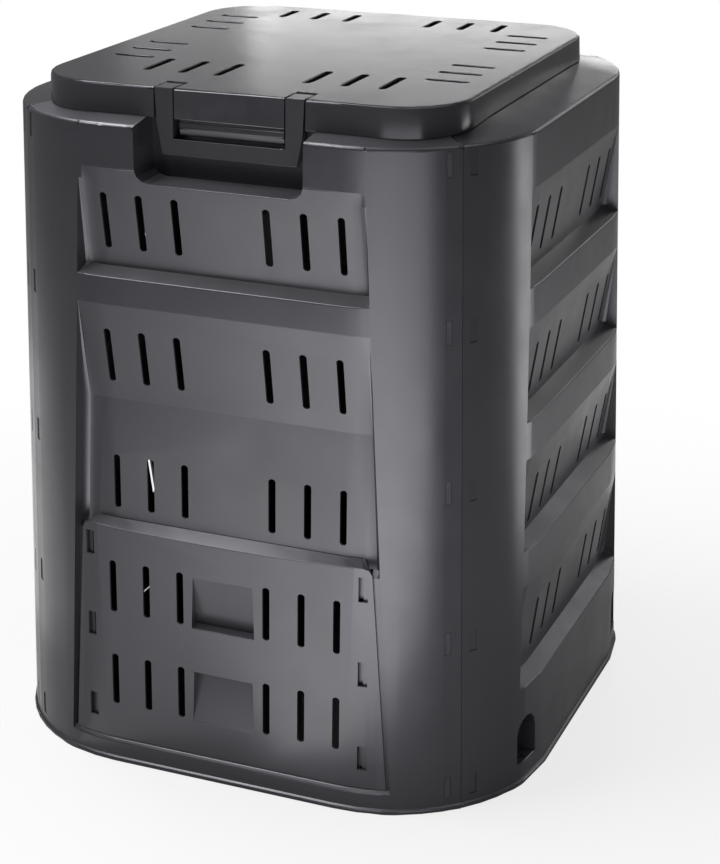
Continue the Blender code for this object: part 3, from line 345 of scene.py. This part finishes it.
def dress(name, material, marking, bevel_width):
    """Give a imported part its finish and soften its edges."""
    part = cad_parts[name]
    for slot in part.material_slots:
        slot.material = material
    weld = part.modifiers.new("weld", "WELD")
    weld.merge_threshold = WELD_DISTANCE
    mark = part.modifiers.new("mark_edges", "NODES")
    mark.node_group = marking
    bevel = part.modifiers.new("bevel", "BEVEL")
    bevel.width = bevel_width
    bevel.segments = BEVEL_SEGMENTS
    bevel.limit_method = "WEIGHT"
    bevel.use_clamp_overlap = False
    bevel.harden_normals = True
    bevel.miter_outer = "MITER_ARC"


def dress_bin():
    """Finishes of the walls and hatch, the lid and the clasp."""
    body_plastic = moulded_plastic("body_plastic_look", WALL_COLOUR, WALL_ROUGHNESS)
    lid_plastic = moulded_plastic("lid_plastic_look", LID_COLOUR, LID_ROUGHNESS)
    clasp_plastic = moulded_plastic("clasp_plastic_look", CLASP_COLOUR, CLASP_ROUGHNESS)
    marking = edge_group("mark_edges", LEVEL_ANGLE)
    lid_marking = edge_group("mark_lid_edges", LID_LEVEL_ANGLE)
    for wall in WALLS:
        dress(wall, body_plastic, marking, WALL_BEVEL)
    dress("hatch", body_plastic, marking, HATCH_BEVEL)
    dress("lid", lid_plastic, lid_marking, LID_BEVEL)
    dress("clasp_handle", clasp_plastic, marking, CLASP_BEVEL)


# Floor, lights and camera

def build_floor():
    mesh = bpy.data.meshes.new("floor")
    corners = ((-1, -1), (1, -1), (1, 1), (-1, 1))
    mesh.from_pydata([(x * FLOOR_HALF, y * FLOOR_HALF, 0.0) for x, y in corners], [],
                     [range(len(corners))])
    mesh.materials.append(floor_material())
    floor = bpy.data.objects.new("floor", mesh)
    bpy.context.collection.objects.link(floor)
    return floor


def add_lamp(name, place, rotation, width, height, radiance):
    """Soft rectangular lamp that the camera doesn't see. Its power follows its area."""
    lamp = bpy.data.lights.new(name, "AREA")
    lamp.shape = "RECTANGLE"
    lamp.size = width
    lamp.size_y = height
    lamp.energy = radiance * math.pi * width * height
    thing = bpy.data.objects.new(name, lamp)
    thing.location = place
    thing.rotation_euler = rotation
    thing.visible_camera = False
    bpy.context.collection.objects.link(thing)
    return thing


def add_light(name, place, aim, width, height, radiance):
    """Lamp that faces its aim."""
    rotation = (Vector(place) - Vector(aim)).to_track_quat("Z", "Y").to_euler()
    return add_lamp(name, place, rotation, width, height, radiance)


def add_level_card(name, centre, turn, width, height, radiance):
    """Lamp that lies just over the floor and faces up."""
    return add_lamp(name, (*centre, CARD_HEIGHT), (math.pi, 0.0, turn), width, height, radiance)


def gather(name, things):
    """Collection that names what a lamp lights, or what shades it."""
    group = bpy.data.collections.new(name)
    for thing in things:
        group.objects.link(thing)
    return group


def build_lights(floor):
    for light in LIGHTS:
        add_light(*light)
    cards = [add_level_card(*card) for card in LEVEL_CARDS]
    cards += [add_light(*card) for card in STANDING_CARDS]
    bin_parts = gather("bin_parts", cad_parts.values())
    for card in cards:
        card.light_linking.receiver_collection = bin_parts
    ledge_parts = [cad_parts[name] for name in LEDGE_NODES]
    ledges = add_light(*LEDGE_LIGHT).light_linking
    ledges.receiver_collection = gather("ledge_parts", ledge_parts)
    ledges.blocker_collection = gather("ledge_shades", [floor])


def build_world():
    """Plain grey light all round, seen as white."""
    world = bpy.data.worlds.new("studio")
    bpy.context.scene.world = world
    world.use_nodes = True
    tree = world.node_tree
    strength = remap(tree, seen_ray(tree), (0.0, 1.0), (WORLD_STRENGTH, 1.0))
    fill(tree, tree.nodes["Background"], {"Color": WHITE, "Strength": strength})


def build_camera():
    lens = bpy.data.cameras.new("photo_camera")
    lens.lens = CAMERA_LENS
    lens.sensor_width = CAMERA_SENSOR
    camera = bpy.data.objects.new("photo_camera", lens)
    camera.location = CAMERA_PLACE
    camera.rotation_euler = (math.pi / 2 - CAMERA_PITCH, 0.0, CAMERA_YAW)
    bpy.context.collection.objects.link(camera)
    bpy.context.scene.camera = camera


dress_bin()
build_world()
build_lights(build_floor())
build_camera()
bpy.context.scene.view_settings.view_transform = "Standard"
